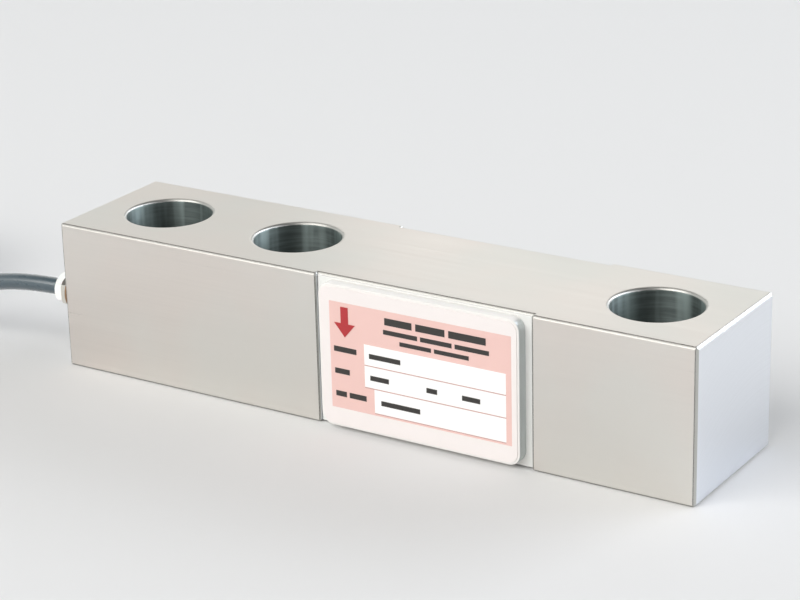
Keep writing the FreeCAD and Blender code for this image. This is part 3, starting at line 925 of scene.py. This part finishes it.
class LOADCELL_OT_gland(bpy.types.Operator):
    """Finish the gland's washer, body, seal and nut"""

    bl_idname = "loadcell.gland"
    bl_label = "Cable gland"

    def execute(self, context):
        dress("gland_body", nickel_brass())
        # Milky white, with a moulded satin skin
        nylon = grained("Nylon, moulded", linear("FEFEFC"), size=mm(0.8), depth=mm(0.01),
                        roughness=0.32, ior=1.53, spread=0.02,
                        steady={"Subsurface Weight": 0.1, "Subsurface Scale": mm(0.5)})
        dress("gland_nut", nylon)
        # Matt brown, with the felted look of pressed paper
        fibre = grained("Vulcanised fibre, stamped", linear("8A6A4C"), size=mm(0.6), depth=mm(0.02),
                        roughness=0.7, ior=1.5)
        dress("gland_washer", fibre)
        # Black and matt, with a fine moulded grain
        rubber = grained("Nitrile rubber, moulded", linear("1E1E1F"), size=mm(0.5), depth=mm(0.01),
                         roughness=0.6, ior=1.52)
        dress("gland_seal", rubber)
        return {"FINISHED"}


# Rise of the cast compound above its middle, in millimetres, at insets from the pocket's wall
MENISCUS = [(0, 0.42), (0.25, 0.24), (0.6, 0.12), (1.2, 0.05), (2.4, 0.01), (4.0, 0)]
POCKET_CORNER = mm(6.0)
POCKET_CORNER_STEPS = 8


def compound_mesh(name):
    """Sealing compound in the rear pocket, drawn up at the wall as it set"""
    low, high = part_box("rear_potting")
    rings = []
    for inset, rise, y in [(0, 0, low.y)] + [(i, r, high.y) for i, r in MENISCUS]:
        edge = mm(inset)
        corners = rectangle(low.x + edge, high.x - edge, low.z + edge, high.z - edge)
        outline = rounded_outline(corners, POCKET_CORNER - edge, POCKET_CORNER_STEPS)
        rings.append([(p.x, y + mm(rise), p.y) for p in outline])
    shape = bmesh.new()
    add_skin(shape, rings)
    return mesh_of(name, shape, smooth_angle=40)


class LOADCELL_OT_pockets(bpy.types.Operator):
    """Finish the sealing compound and the pieces in the gauge pockets"""

    bl_idname = "loadcell.pockets"
    bl_label = "Gauge pockets"

    def execute(self, context):
        # Dark grey and rubbery, with the soft waves of a poured surface
        compound = grained("Polyurethane compound, cast", linear("3A3C3E"), size=mm(2.5), depth=mm(0.06),
                           roughness=0.5, ior=1.5)
        # Amber and glossy, with a faint mottle
        film = grained("Polyimide gauge film, etched foil", linear("B67A35"), size=mm(0.4), depth=mm(0.01),
                       roughness=0.4, ior=1.7)
        # Green, with the slightly uneven gloss of a cured mask
        board = grained("Glass epoxy board, masked", linear("2F6B45"), size=mm(0.5), depth=mm(0.01),
                        roughness=0.4, ior=1.55)
        # Black, with a smooth glazed skin
        resistor = grained("Resistor body, glazed", linear("1F2022"), size=mm(0.4), depth=mm(0.01),
                           roughness=0.35, ior=1.5)
        dress("front_potting", compound)
        finished("rear_compound", compound_mesh("rear_compound"), compound, ["rear_potting"])
        for side in ("front", "rear"):
            dress(side + "_shear_gauge", film)
            dress(side + "_terminal_board", board)
        wire = tinned_copper()
        for node in ("board_link_wires", "front_gauge_leads", "rear_gauge_leads"):
            dress(node, wire)
        dress("trim_resistors", resistor)
        low, _ = cad_box
        for core, colour in LEAD_COLOURS.items():
            dress(core + "_core", lead_insulation("PVC core, " + core, linear(colour), low.x))
        return {"FINISHED"}


# Stage

# Floor and nearest sight in metres, and the camera's sensor in millimetres
FLOOR_RADIUS = 6.0
FLOOR_SIDES = 96
CLIP_START = 0.01
SENSOR_WIDTH = 36.0
# Soft boxes: name, place and target in metres, width, height, power in watts, colour
SOFT_BOXES = [
    ("key_box", (-0.8, -2.5, 2.4), (0.05, 0, 0.02), 3.8, 2.5, 98, "FFFDFA"),
    ("side_box", (2.8, 0.6, 1.8), (0.05, 0, 0.02), 2.0, 2.0, 16, "F4F8FF"),
    ("end_box", (2.2, 2.8, 1.5), (0.13, 0, 0.02), 2.8, 1.5, 76, "E8EEFA"),
    ("back_box", (-1.2, 3.4, 1.3), (0.08, 0, 0.03), 1.8, 1.3, 3.5, "FFFFFF"),
]


def add_soft_box(scene, name, place, target, width, height, power, colour):
    """Hang one soft box, turned to its target"""
    light = bpy.data.lights.new(name, "AREA")
    light.shape = "RECTANGLE"
    light.size = width
    light.size_y = height
    light.energy = power
    light.color = linear(colour)
    box = bpy.data.objects.new(name, light)
    box.location = place
    box.rotation_euler = (Vector(target) - Vector(place)).to_track_quat("-Z", "Y").to_euler()
    box.visible_camera = False
    scene.collection.objects.link(box)


def add_camera(scene, stage):
    """Stand the camera where the view asks for it"""
    lens = bpy.data.cameras.new("camera")
    lens.lens = stage.lens
    lens.sensor_width = SENSOR_WIDTH
    lens.clip_start = CLIP_START
    camera = bpy.data.objects.new("camera", lens)
    tilt = Matrix.Rotation(math.pi / 2 - stage.pitch, 4, "X")
    turn = Matrix.Rotation(stage.yaw, 4, "Z") @ tilt @ Matrix.Rotation(stage.roll, 4, "Z")
    camera.matrix_world = Matrix.Translation(stage.camera_place) @ turn
    scene.collection.objects.link(camera)
    scene.camera = camera


class LOADCELL_OT_stage(bpy.types.Operator):
    """Set out the floor, the soft light and the camera"""

    bl_idname = "loadcell.stage"
    bl_label = "Stage"

    def execute(self, context):
        scene = context.scene
        stage = scene.load_cell.stage
        scene.view_settings.view_transform = "Standard"
        shape = bmesh.new()
        bmesh.ops.create_circle(shape, cap_ends=True, segments=FLOOR_SIDES, radius=FLOOR_RADIUS)
        floor = bpy.data.objects.new("floor", mesh_of("floor", shape))
        floor.data.materials.append(plain_floor(stage.floor))
        scene.collection.objects.link(floor)
        scene.world = soft_room(stage)
        for box in SOFT_BOXES:
            add_soft_box(scene, *box)
        add_camera(scene, stage)
        return {"FINISHED"}


class LOADCELL_PT_panel(bpy.types.Panel):
    """Buttons that dress the load cell, in order"""

    bl_label = "Load cell"
    bl_idname = "LOADCELL_PT_panel"
    bl_space_type = "VIEW_3D"
    bl_region_type = "UI"
    bl_category = "Load cell"

    def draw(self, context):
        for operator in OPERATORS:
            self.layout.operator(operator.bl_idname)


OPERATORS = (
    LOADCELL_OT_stage, LOADCELL_OT_cable_end, LOADCELL_OT_cable, LOADCELL_OT_bar, LOADCELL_OT_cover,
    LOADCELL_OT_nameplate, LOADCELL_OT_gland, LOADCELL_OT_pockets,
)
CLASSES = (
    BarSettings, LabelSettings, CableSettings, StageSettings, LoadCellSettings, *OPERATORS, LOADCELL_PT_panel,
)


def register():
    """Register the classes and hang the settings on the scene"""
    for cls in CLASSES:
        bpy.utils.register_class(cls)
    bpy.types.Scene.load_cell = PointerProperty(type=LoadCellSettings)


def unregister():
    """Take the settings and the classes away again"""
    del bpy.types.Scene.load_cell
    for cls in reversed(CLASSES):
        bpy.utils.unregister_class(cls)


def main():
    """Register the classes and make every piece"""
    register()
    bpy.ops.loadcell.stage()
    bpy.ops.loadcell.cable_end()
    bpy.ops.loadcell.cable()
    bpy.ops.loadcell.bar()
    bpy.ops.loadcell.cover()
    bpy.ops.loadcell.nameplate()
    bpy.ops.loadcell.gland()
    bpy.ops.loadcell.pockets()


if __name__ == "__main__":
    main()
